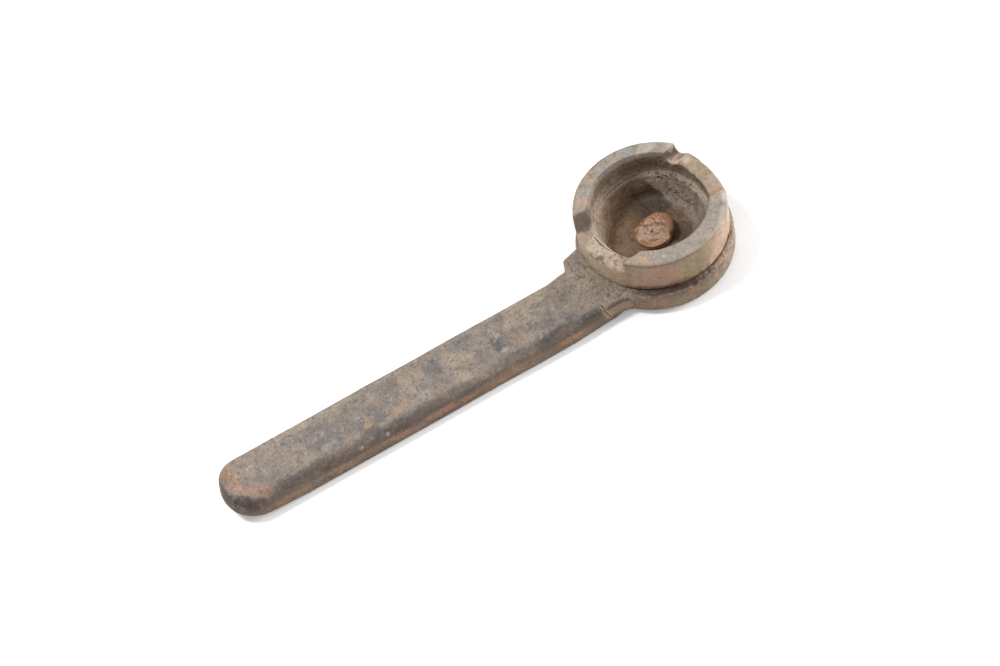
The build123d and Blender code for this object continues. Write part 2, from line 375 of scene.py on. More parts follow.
def cup_distance(x, y, z):
    """The jawed cup, with worn edges, chips and a burr under the rim."""
    step = 0.2
    a, b = np.meshgrid(np.arange(0, 60, step), np.arange(2, 36, step), indexing="ij")
    radius, angle = np.hypot(x, y) + 0 * z, np.degrees(np.arctan2(y, x)) + 0 * z
    z = z + 0 * radius
    # The ledge wanders round the well and is worn smooth towards the handle.
    wander = 0.3 * np.sin(np.radians(3 * angle + 60)) + 0.2 * np.sin(np.radians(8 * angle))
    reach = radius + wander * np.exp(-(((z - LEDGE) / 3.5) ** 2)) * (radius < 29)
    crisp, smooth = (
        table_lookup(flat_distance(a, b, shape), (0, 2), step, reach, z) for shape in (LEDGED, WORN_SMOOTH)
    )
    body = crisp + (smooth - crisp) * ramp(112, 142, np.abs(angle))
    # A burr hangs over at the front of the rim; further round the edge is worn away.
    front = ramp(-138, -122, angle) * ramp(-42, -70, angle)
    bulge = 0.42 * front * np.exp(-(((z - 32.2) / 0.75) ** 2))
    hollow = 0.35 * front * np.exp(-(((z - 30.6) / 0.6) ** 2))
    body = np.where(radius > 31, body - bulge + hollow, body)
    worn = ramp(-66, -42, angle) * ramp(18, -5, angle)
    edge = 0.7 + 2.6 * worn + 0.5 * ramp(60, 120, angle)
    body = np.maximum(body, both(radius - CUP_RADIUS - bulge, z - RIM, edge))
    bevel = 0.6 + 1.1 * ramp(40, 55, angle) + 0.9 * ramp(120, 150, angle)
    lip = both(both(BORE - radius, z - RIM, 0.4), (bevel + BORE - radius + z - RIM) * 0.7, 0.4)
    body = np.where(z > 24, np.maximum(body, lip), body)
    for gap in GAPS:
        turn = math.radians(gap["angle"])
        u = x * math.cos(turn) + y * math.sin(turn)
        v = -x * math.sin(turn) + y * math.cos(turn)
        floor_at = np.interp(v, *gap["floor"])
        if gap["angle"] == FAR_GAP:
            # Metal is pushed over the well's edge beside the steep flank, in front of a scoop.
            floor_at = floor_at + 1.1 * np.exp(-(((u - 26) / 2.2) ** 2) - ((v - 9.5) / 2.6) ** 2)
            floor_at = floor_at - 1.3 * np.exp(-(((u - 28.5) / 4.5) ** 2) - ((v - 15.5) / 2.2) ** 2)
        along, up = (u - 22) / 12, (z - GAP_FLOOR) / (RIM - GAP_FLOOR)
        flanks = []
        for name in ("steep", "worn"):
            high_in, high_out, low_in, low_out = gap[name]
            high, low = high_in + (high_out - high_in) * along, low_in + (low_out - low_in) * along
            flanks.append(low + (high - low) * up)
        floor = floor_at - z + 0.25 * np.sin(v / 2.1 + gap["angle"]) * np.sin(u / 1.7) + 0.05 * (u - 30)
        steep = both(v - flanks[0] + 0.5 * np.sin(u / 1.9 + z / 1.3) * (gap["angle"] == NEAR_GAP), floor, 2.0)
        worn_side = both((flanks[1] - v) * 0.75, floor, 2.2)
        cutter = np.maximum(np.maximum(steep, worn_side), 15 - u)
        rubbed = 0.55 + 1.5 * ramp(21, 12, angle) * ramp(-30, -18, angle) * ramp(30, 33, radius)
        rubbed = rubbed + 0.7 * ramp(140, 155, np.abs(angle)) * ramp(29, 27.5, radius)
        body = both(body, -cutter, rubbed)
    for *place, size in CHIPS:
        cx, cy, cz = at(*place)
        away = np.sqrt((x - cx) ** 2 + (y - cy) ** 2 + ((z - cz) * 1.1) ** 2)
        body = both(body, size - away, 0.35)
    groove = line_distance(x, y, z, RIM_CRACK)
    hollow = np.sqrt(((x - 9.4) / 6.6) ** 2 + ((y + 5.2) / 4.8) ** 2 + ((z - 8.8) / 1.1) ** 2)
    body = np.maximum(body, -np.maximum(pin_holes(x, y), z - 7.0))
    body = np.maximum(body, (1 - hollow) * 1.1)
    return np.maximum(body, 0.45 - groove)


# ------------ the peened rivet and its burr
FACE_AT = np.array((-1.6, -2.4, 12.5))
FACE_OUT = np.array((-0.27, -0.42, 0.866))
RING_AT = np.array((-1.6, -3.0, 12.3))
DOT_AT = np.array((-1.7, -1.4, 12.9))
# The battered end seen from above.
END = outline(
    [(0.2, 6.8, 3), (5.4, 7.3, 4), (9.7, 3.4, 3), (9.9, -1, 8), (7.6, -6.4, 8), (1, -9.2, 9), (-6, -8.5, 7)]
    + [(-9.6, -3.2, 8), (-9.4, 2.6, 5), (-6.6, 5.4, 2), (-4.2, 4.2, 1.2)]
)
# The fold between the flattened face and the lip behind it, then round the face's other sides.
FOLD = [(-4.3, 4.4), (-2.6, 2.5), (-0.2, 1.4), (1.3, 1.0), (3.3, -0.9), (4.5, -2.1), (4.8, -4.4), (4.0, -7.4)]


def rivet_distance(x, y, z):
    """Battered end with a flattened face and a lip folded up behind it, above a round shank."""
    radius = np.hypot(x, y)
    stub = both(flat_distance(x + 0 * y, y + 0 * x, END), z - 15.25, 2.6)
    stub = both(stub, 10.6 - z, 0.9)
    over = (x - FACE_AT[0]) * FACE_OUT[0] + (y - FACE_AT[1]) * FACE_OUT[1] + (z - FACE_AT[2]) * FACE_OUT[2]
    from_ring = np.sqrt((x - RING_AT[0]) ** 2 + (y - RING_AT[1]) ** 2)
    over = over - 0.1 * np.exp(-(((from_ring - 3.0) / 0.9) ** 2)) + 0.12 * np.exp(-((from_ring / 1.6) ** 2))
    face = flat_distance(x + 0 * y, y + 0 * x, np.array(FOLD + [(1.5, -14), (-14, -14), (-14, 4.0)]))
    stub = both(stub, -both(both(-over, face, 0.5), 11.5 - z, 0.8), 0.7)
    dot = np.sqrt((x - DOT_AT[0]) ** 2 + (y - DOT_AT[1]) ** 2 + (z - DOT_AT[2]) ** 2)
    stub = both(stub, 0.5 - dot, 0.2)
    shank = np.maximum(radius - np.maximum(6.0, 9.4 - z), np.maximum(-z, z - 12))
    return np.minimum(stub, shank)


def burr_distance(x, y, z):
    """Ring under the peened end."""
    angle = np.arctan2(y, x)
    swell = 0.25 * np.sin(2 * angle - 0.4) + 0.2 * np.sin(5 * angle + 1.0)
    radius = np.hypot(x, y)
    ring = both(both(radius - 8.75 - swell, z - 10.85, 0.7), 8.52 - z, 0.4)
    return np.maximum(ring, 6.1 - radius)


# ------------ meshes
def added(name, data):
    """A new object in the scene."""
    thing = bpy.data.objects.new(name, data)
    bpy.context.scene.collection.objects.link(thing)
    return thing


def to_object(name, points, quads, colours):
    """A smooth mesh object in metres, kept inside the solids' box."""
    low, high = (np.array(c) / MM for c in cad_box)
    points = np.clip(points, low + INSIDE_BOX, high - INSIDE_BOX)
    mesh = bpy.data.meshes.new(name)
    mesh.vertices.add(len(points))
    mesh.vertices.foreach_set("co", (points * MM).astype(np.float32).ravel())
    mesh.loops.add(quads.size)
    mesh.loops.foreach_set("vertex_index", quads.astype(np.int32).ravel())
    mesh.polygons.add(len(quads))
    mesh.polygons.foreach_set("loop_start", np.arange(0, quads.size, 4, dtype=np.int32))
    mesh.update(calc_edges=True)
    mesh.shade_smooth()
    layer = mesh.attributes.new("paint", "FLOAT_COLOR", "POINT")
    layer.data.foreach_set("color", colours.astype(np.float32).ravel())
    return added(name, mesh)


# ------------ colour over the surfaces
PATCH_REACH = 2.6  # how far out a patch is worked out, in its own sizes
PATCH_RAGGED = 0.9
PATCH_EDGE = 0.45
PATCH_HEIGHT, PATCH_DEPTH = 13, 4


def linear(r, g, b):
    """A colour given as 0 to 255 on a screen, as light."""
    c = np.array((r, g, b), float) / 255
    return np.where(c <= 0.04045, c / 12.92, ((c + 0.055) / 1.055) ** 2.4)


def coated(colour, *coats):
    """Colours with others laid over them in turn, each given as 0 to 255 with its share."""
    for shade, share in coats:
        colour = colour + (linear(*shade) - colour) * np.clip(share, 0, 1)[:, None]
    return colour


def blot(p, centre, sizes, seed, turn=0):
    """A patch with a ragged edge: 1 inside it and 0 outside."""
    centre, sizes = (*centre, PATCH_HEIGHT)[:3], (*sizes, PATCH_DEPTH)[:3]
    q = p - np.array(centre, float)
    share = np.zeros(len(p))
    near = np.flatnonzero((np.abs(q) < PATCH_REACH * max(sizes)).all(axis=1))
    q = q[near]
    c, s = math.cos(math.radians(turn)), math.sin(math.radians(turn))
    along, across = (q[:, 0] * c + q[:, 1] * s) / sizes[0], (q[:, 1] * c - q[:, 0] * s) / sizes[1]
    away = np.sqrt(along**2 + across**2 + (q[:, 2] / sizes[2]) ** 2)
    away = away + PATCH_RAGGED * layered(p[near], 0.45 * min(sizes[:2]) + 1.0, seed)
    share[near] = ramp(1 + PATCH_EDGE, 1 - PATCH_EDGE, away)
    return share


def blotted(colour, p, patches, seed):
    """Colours with patches laid over them: place, sizes, colour, share and any turn of each."""
    for n, (place, sizes, shade, share, *turn) in enumerate(patches):
        colour = coated(colour, (shade, share * blot(p, place, sizes, seed + n, *turn)))
    return colour


OCHRE, RUST, SLATE, SOOT = (178, 159, 138), (174, 138, 108), (116, 112, 112), (62, 54, 50)
# Places without a height are on the top, and sizes without one reach 4 mm up and down.
HANDLE_PATCHES = (
    ((-132, -8), (6, 5.5), OCHRE, 0.7),
    ((-113, -8), (3.5, 4.5), OCHRE, 0.55, 30),
    ((-107, -13), (6, 3), OCHRE, 0.65, -10),
    ((-112.5, -19), (4, 3), OCHRE, 0.65, -20),
    ((-74, -5), (9, 5), OCHRE, 0.5),
    ((-68, -11), (4, 4), (178, 164, 144), 0.4),
    ((-52, -2), (6, 3), OCHRE, 0.35),
    ((-215, -5), (9, 6), (172, 152, 134), 0.4),
    ((-169, -3), (4, 2.5), OCHRE, 0.45, 20),
    ((-168, -19), (5, 2.2), OCHRE, 0.45),
    ((-159, -18.5), (2.4, 2), (186, 150, 112), 0.6, 40),
    ((-152, -7), (1.6, 3.6), OCHRE, 0.45, 20),
    ((-142, -18), (6, 2.5), (172, 144, 120), 0.5, 10),
    ((-186, -19), (5, 2), OCHRE, 0.4),
    ((-163, -10), (3, 4), OCHRE, 0.35, 20),
    ((-153, -18), (2.6, 2.6), SLATE, 0.7),
    ((-163.5, -16.5), (2.4, 2.2), SLATE, 0.6),
    ((-182, -14), (4, 4), SLATE, 0.55, 30),
    ((-172, -14), (4, 2.2), SLATE, 0.45),
    ((-185, -5), (8, 3), SLATE, 0.35),
    ((-148, -12), (6, 3), SLATE, 0.35),
    ((-121, -9), (4.4, 4.8), SLATE, 0.7, -20),
    ((-103, -4), (6, 3), SLATE, 0.5),
    ((-99, -16), (3, 4.5), (128, 116, 116), 0.6, 10),
    ((-91, -14.5), (2.6, 4.6), (92, 94, 98), 0.85, 18),
    ((-84, -3), (6, 2.4), SLATE, 0.4),
    ((-55, -9), (4, 3.6), SLATE, 0.5),
    ((-66, -16), (7, 3), SLATE, 0.3),
    ((-88.5, -9), (1.3, 1.9, 3), (196, 188, 178), 0.45),
    ((-89.5, -18.5), (1.9, 1.2, 3), (196, 188, 178), 0.45),
    ((-130, -18), (3, 2.2), (190, 181, 172), 0.35),
    ((-178.5, -8.8), (2.2, 1.0, 3), (196, 188, 180), 0.25, -40),
    ((-183, -11), (1.6, 1.0, 3), (196, 188, 180), 0.3, 30),
    ((-178, -17.5), (3.4, 1.6, 3), (190, 181, 172), 0.35),
    ((-60.5, -13), (0.7, 6, 3), (184, 172, 158), 0.4, -6),
    ((-133, -15), (0.5, 3.6, 3), (196, 182, 166), 0.4, -18),
    # The dark worn edge on the near side, darkest where it was gripped.
    ((-187, -23.5, 12), (8, 3), SOOT, 0.5),
    ((-203, -23.5, 12), (10, 2.6), (76, 66, 62), 0.6),
    ((-159, -23.0, 12), (6, 2.8), (66, 60, 62), 0.55),
    ((-148, -25, 11), (5, 2.4), SOOT, 0.45),
    ((-133, -25, 11), (9, 2.4), (84, 72, 64), 0.4),
    ((-114, -25, 11), (8, 2.4), (84, 72, 64), 0.4),
    ((-69, -23.8, 12), (6.5, 1.9), (62, 62, 64), 0.65, 12),
    ((-59, -22, 12), (3.6, 1.8), (76, 72, 74), 0.6, 20),
    ((-48, -24.2, 11.8), (6.5, 1.7, 3.4), (60, 56, 54), 0.75, 8),
    ((-84, -24, 12), (7, 2), (80, 72, 64), 0.5),
    ((-166.5, -26.0, 11.2), (1.0, 1, 1.0), (200, 180, 166), 0.7),
    ((-153.5, -26.1, 10.6), (0.9, 0.9, 1.0), (206, 190, 178), 0.55),
    # The near side.
    ((-127.5, -26.6, 6.4), (6.5, 3, 2.4), (172, 116, 98), 0.6),
    ((-148, -26.6, 5.5), (7, 3, 2), (166, 112, 92), 0.55),
    ((-115, -26.6, 5.5), (8, 3, 1.8), (168, 116, 78), 0.6),
    ((-97, -26.6, 5), (8, 3, 2), (158, 114, 78), 0.55),
    ((-174, -26.6, 5), (5, 3, 2), (160, 118, 80), 0.6),
    ((-204, -26.6, 6), (10, 3, 2.4), (152, 108, 78), 0.6),
    ((-60, -26.6, 6.5), (7, 3, 1.8), (176, 122, 76), 0.65),
    ((-78, -26.6, 6), (7, 3, 2.4), (126, 100, 74), 0.5),
    # The tip: rust rubbed through along the top's edge, dark below it.
    ((-222.5, -5.5, 12), (3.6, 5.6), RUST, 0.75, -8),
    ((-222, -12, 12), (3.4, 4.4), (188, 144, 122), 0.85, 20),
    ((-216.5, -18.2, 12.2), (6.5, 2.8, 3.4), (184, 146, 126), 0.8, -32),
    ((-212, -22.5, 11.4), (4, 2.4, 3), (164, 128, 108), 0.6, -10),
    ((-227.4, -15, 10.4), (2.0, 6.2, 2.0), (66, 56, 56), 0.75, 10),
    ((-222.2, -21.6, 11.7), (5, 2.3, 2.4), (56, 44, 41), 0.9, -48),
    ((-217.6, -25.2, 11), (4, 2, 2), (76, 62, 56), 0.7, -12),
    ((-229.2, -5, 10.4), (1.6, 6, 2.6), (136, 128, 122), 0.5),
    ((-228.5, -10, 7.0), (2.6, 6, 3.4), (84, 72, 66), 0.75),
    ((-226.0, -18.5, 6.2), (4, 6, 2.4), (96, 78, 66), 0.75, 20),
    ((-220.5, -24, 6.4), (5.5, 3, 2.2), (106, 82, 64), 0.7, -30),
    ((-217.5, -26, 5), (7, 2.6, 2.6), (112, 84, 62), 0.7),
    ((-226, -20, 3.2), (5, 5, 1.8), (84, 66, 54), 0.7),
    # The shank and the plate's side.
    ((-42, -2), (5, 8), (184, 166, 146), 0.5),
    ((-37, -15), (5, 4), (104, 90, 80), 0.5),
    ((-29.5, -21), (3.2, 3.2, 3), (96, 90, 92), 0.6, 30),
    ((-22, -28.5, 12), (5, 2.6, 3), (104, 94, 92), 0.4),
    ((-18.5, -34.4, 9), (5, 3), (168, 126, 88), 0.5),
    ((-10, -37.4, 6), (6, 3), (150, 130, 88), 0.5),
    ((-2, -38.4, 8.5), (5, 3), (168, 134, 100), 0.4),
    ((8, -37.4, 7), (5, 3, 5), (158, 140, 100), 0.5),
    # Paler on the plate's right side: painted light where it faces the light.
    ((20, -31.5, 7), (9, 9, 7), (192, 168, 144), 0.55, 30),
    ((31, -20, 7), (6, 9, 7), (206, 188, 170), 0.6),
)


def paint_forging(p, n):
    """Colour and shine over the plate, the shank and the bar."""
    x, y, z = p.T
    wide = layered(p * (0.6, 1, 1), 13, 41)
    fine = layered(p, 3.6, 43)
    grain = layered(p, 1.1, 47, 2)
    streak = layered(p * (1, 0.3, 0.3), 1.6, 49, 2)
    radius = np.hypot(x, y)
    from_plate = np.hypot(x - PLATE_X, y - PLATE_Y)
    side = ramp(0.75, 0.25, np.abs(n[:, 2]))
    bar = ramp(-40, -44, x)
    smear = layered(p * (0.35, 1, 1.2), 5, 53)
    band = bar * ramp(-20.5, -24.6, y) * ramp(7.6, 9.2, z)
    top = 1 - 0.75 * np.maximum(side, band)
    shank_side = ramp(-43, -40.5, x) * ramp(-27, -30, x) * ramp(-20, -23, y)
    flat_top = ramp(11.3, 12.2, z)
    annulus = ramp(-34, -26, x) * flat_top * ramp(36.5, 35.4, from_plate + 0.5 * fine)
    dirt_and_shade, right = 0.55 + 0.35 * ramp(-26, -18, x), ramp(-6, 20, x)
    speck = layered(p, 1.3, 65, 2)
    near_cup = ramp(62, 42, radius) * ramp(11.5, 12.6, z) * ramp(-20, -30, x)
    shine = 0.25 + 0.2 * ramp(0.2, 0.6, wide)
    colour = coated(
        linear(152, 139, 128),
        ((176, 158, 138), 0.45 * ramp(0.1, 0.5, wide + 0.5 * fine)),
        ((116, 108, 106), 0.5 * ramp(-0.05, -0.45, wide + 0.6 * fine)),
        ((160, 126, 98), 0.45 * ramp(0.2, 0.5, fine - 0.3 * wide)),
        # Sides are browner, with a dark worn band above them on the bar.
        ((111, 84, 60), 0.85 * side),
        ((90, 65, 46), 0.6 * side * ramp(0.0, 0.45, smear)),
        ((156, 119, 86), 0.4 * side * ramp(0.0, -0.45, smear)),
        ((90, 72, 60), 0.75 * band * ramp(-0.6, 0.3, layered(p * (0.5, 1, 1), 8, 59))),
        ((190, 172, 154), 0.35 * bar * ramp(-4.5, 1.5, y) * ramp(0.5, 0.75, n[:, 2])),
    )
    colour = blotted(colour, p, HANDLE_PATCHES, 71)
    colour = coated(
        colour,
        ((84, 74, 70), 0.55 * ramp(0.18, 0.55, grain)),
        ((204, 192, 178), 0.45 * top * ramp(-0.3, -0.65, grain)),
        ((186, 170, 152), 0.35 * top * ramp(0.3, 0.65, streak)),
        ((104, 94, 88), 0.35 * ramp(-0.3, -0.65, streak)),
        ((66, 54, 47), 0.7 * ramp(2.8, 0.4, z)),
        # The light near side of the shank, with a dark line along its top edge.
        ((172, 144, 116), 0.6 * shank_side * ramp(10.4, 9.4, z) * ramp(3.0, 5.5, z)),
        ((64, 54, 46), 0.6 * shank_side * np.exp(-(((z - 10.3) / 0.35) ** 2))),
        # The plate's top under the cup's edge is dirty, with painted shade at the front and painted light to the
        # right, and the shank is rough near the cup.
        ((62, 44, 31), annulus * dirt_and_shade * (1 - right)),
        ((206, 182, 160), 0.85 * annulus * right),
        ((58, 46, 38), annulus * (0.75 - 0.4 * right) * ramp(0.1, 0.45, speck)),
        ((172, 154, 134), 0.5 * annulus * ramp(-0.2, -0.5, speck) * (0.1 + 0.9 * right)),
        # Painted light inside the joint under the cup, lifting the joint's shade.
        ((148, 106, 74), 0.85 * ramp(35.4, 34.8, radius) * ramp(11.5, 12.2, z)),
        ((162, 144, 126), 0.5 * near_cup),
        ((70, 60, 54), 0.55 * near_cup * ramp(0.1, 0.45, layered(p, 0.9, 61, 2))),
        ((190, 170, 148), 0.5 * near_cup * ramp(-0.15, -0.45, layered(p, 0.9, 63, 2))),
    )
    for line, width in ((CRACK, 0.62), (CREASE, 0.5), (PITS, 1.1)):
        away = line_distance(x, y, z, line)
        pale_edge = 0.4 * ramp(width + 0.8, width + 0.3, away)
        inside = 0.8 * ramp(width, width - 0.35, away)
        colour = coated(colour, ((190, 166, 142), pale_edge), ((50, 41, 35), inside))
    return np.column_stack([np.clip(colour, 0, 1), shine])


CUP_PATCHES = (
    (at(-137, 35, 27.5), (5, 5, 3), (150, 134, 96), 0.45),
    (at(-133, 35, 22), (5, 5, 4), (160, 128, 112), 0.4),
    (at(-116, 35, 24), (5, 5, 7), (166, 126, 100), 0.45),
    (at(-103, 35, 21), (4, 4, 6), (170, 126, 96), 0.45),
    (at(-92, 35, 23), (4, 4, 8), (144, 128, 94), 0.45),
    (at(-76, 35, 24), (5, 5, 9), (150, 136, 106), 0.45),
    # Paler patches on the right of the outer wall are painted light on the side that faces the light.
    (at(-62, 35, 20), (6, 6, 8), (202, 172, 148), 0.55),
    (at(-46, 35, 22), (7, 7, 9), (202, 172, 150), 0.6),
    (at(-38, 35, 19), (5, 5, 5), (214, 172, 146), 0.5),
    (at(-53, 35, 29.5), (4, 4, 2.6), (222, 200, 180), 0.38),
    (at(-28, 35, 24), (6, 6, 8), (222, 204, 188), 0.6),
    (at(-127, 32), (2, 2, 2), (192, 162, 130), 0.5),
    (at(-110, 32), (3.4, 3, 2), (156, 148, 142), 0.7),
    (at(-109, 32), (1.1, 0.8, 1), (208, 210, 214), 0.6),
    (at(-90, 32), (3, 3, 2), (184, 160, 138), 0.5),
    (at(-50, 33.5), (3.4, 2, 2), (146, 148, 152), 0.6, 30),
    (at(-31, 33.6, 32.6), (2.8, 1.6, 2), (190, 189, 188), 0.5, 60),
    (at(-37, 33.2, 32.6), (2.2, 1.6, 2), (128, 132, 138), 0.75, 50),
    (at(-30, 34.8, 29.5), (1.6, 1.6, 2.2), (150, 150, 148), 0.6),
    (at(62, 31.5), (4, 3, 2), (196, 192, 184), 0.6),
    (at(76, 31.5), (3.4, 2.4, 2), (140, 146, 150), 0.6, 60),
    (at(100, 33.6), (3, 3.4, 2), (160, 150, 140), 0.75, 10),
    (at(118, 31.5), (1.8, 3.6, 2), (192, 162, 124), 0.55, 20),
    (at(130, 31.5), (4, 5, 2), (160, 151, 142), 0.5, 20),
    (at(143, 31.5), (2.4, 3, 2), (196, 164, 138), 0.5),
    (at(42, 33), (2, 2, 2), (206, 198, 186), 0.6),
    (at(35, 28, 28.6), (2.6, 2, 2), (214, 192, 178), 0.8, 30),
    (at(28, 31.5, 28.6), (3, 2.4, 2), (206, 184, 164), 0.6, 30),
    (at(19, 31.5, 28), (2.6, 2, 2), (172, 162, 126), 0.45, 30),
    (at(8, 31, 27.4), (3, 2, 2), (190, 156, 134), 0.45, 30),
    (at(-5, 33, 26.6), (4, 4, 2), (176, 160, 144), 0.65, 30),
    (at(-16, 31, 27), (3.6, 3, 2), (188, 160, 138), 0.6, 30),
    ((-29.6, 9.2, 27.6), (4.4, 2.6, 3), (96, 80, 70), 0.85),
    ((-27.4, 9.6, 27.4), (1.6, 1.8, 2), (74, 64, 60), 0.7),
    ((-25.2, -1, 24.5), (3.2, 10, 3.6), (200, 183, 170), 0.65),
    ((-35, -4, 22), (4, 7, 6), (194, 180, 160), 0.45),
    (at(-176, 31, 27), (4, 4, 3), (196, 180, 162), 0.6),
    (at(-160, 31, 27), (4, 5, 3), (196, 172, 154), 0.5),
    (at(-150, 33, 26.5), (3, 3, 3), (196, 178, 160), 0.5),
    (at(-145, 34.2, 27.0), (2.2, 2.2, 1.6), (212, 190, 178), 0.6),
    (at(-162, 34.8, 26.8), (2.4, 2.0, 1.5), (112, 97, 76), 0.8, 30),
    (at(-157, 33.6, 27), (2, 1.6, 1.6), (154, 140, 114), 0.6),
    (at(-153, 35.2, 25.7), (2.6, 1.6, 0.7), (208, 196, 182), 0.7, -60),
    (at(-171, 35.2, 25.3), (1.5, 1.5, 0.8), (92, 78, 62), 0.8),
    (at(-147, 28.5, 26.5), (3, 2, 2), (150, 126, 112), 0.5),
    (at(58, 23.7, 18.6), (0.7, 0.7, 0.8), (206, 196, 184), 0.9),
    (at(54, 23.7, 18.4), (0.6, 0.6, 0.7), (206, 196, 184), 0.9),
    (at(-20, 23.5, 13), (4, 6, 1.4), (176, 172, 168), 0.35),
)


def pits_in_cup(p):
    """How deeply the inside is pitted: most along and above the ledge on the side away from the handle."""
    x, y, z = p.T
    radius, angle = polar(x, y)
    inside = ramp(27.6, 26.6, radius) * ramp(32.0, 30.5, z)
    band = ramp(80, 62, angle) * ramp(-24, 0, angle) * ramp(18.5, 20, z) * ramp(29.5, 27, z)
    spot = ramp(46, 36, angle) * ramp(-2, 12, angle) * ramp(8.2, 9.5, z) * ramp(15, 12.5, z)
    return inside * (0.35 + 0.65 * np.maximum(band, 0.8 * spot)) * ramp(0.1, 0.36, layered(p, 0.95, 117, 2))


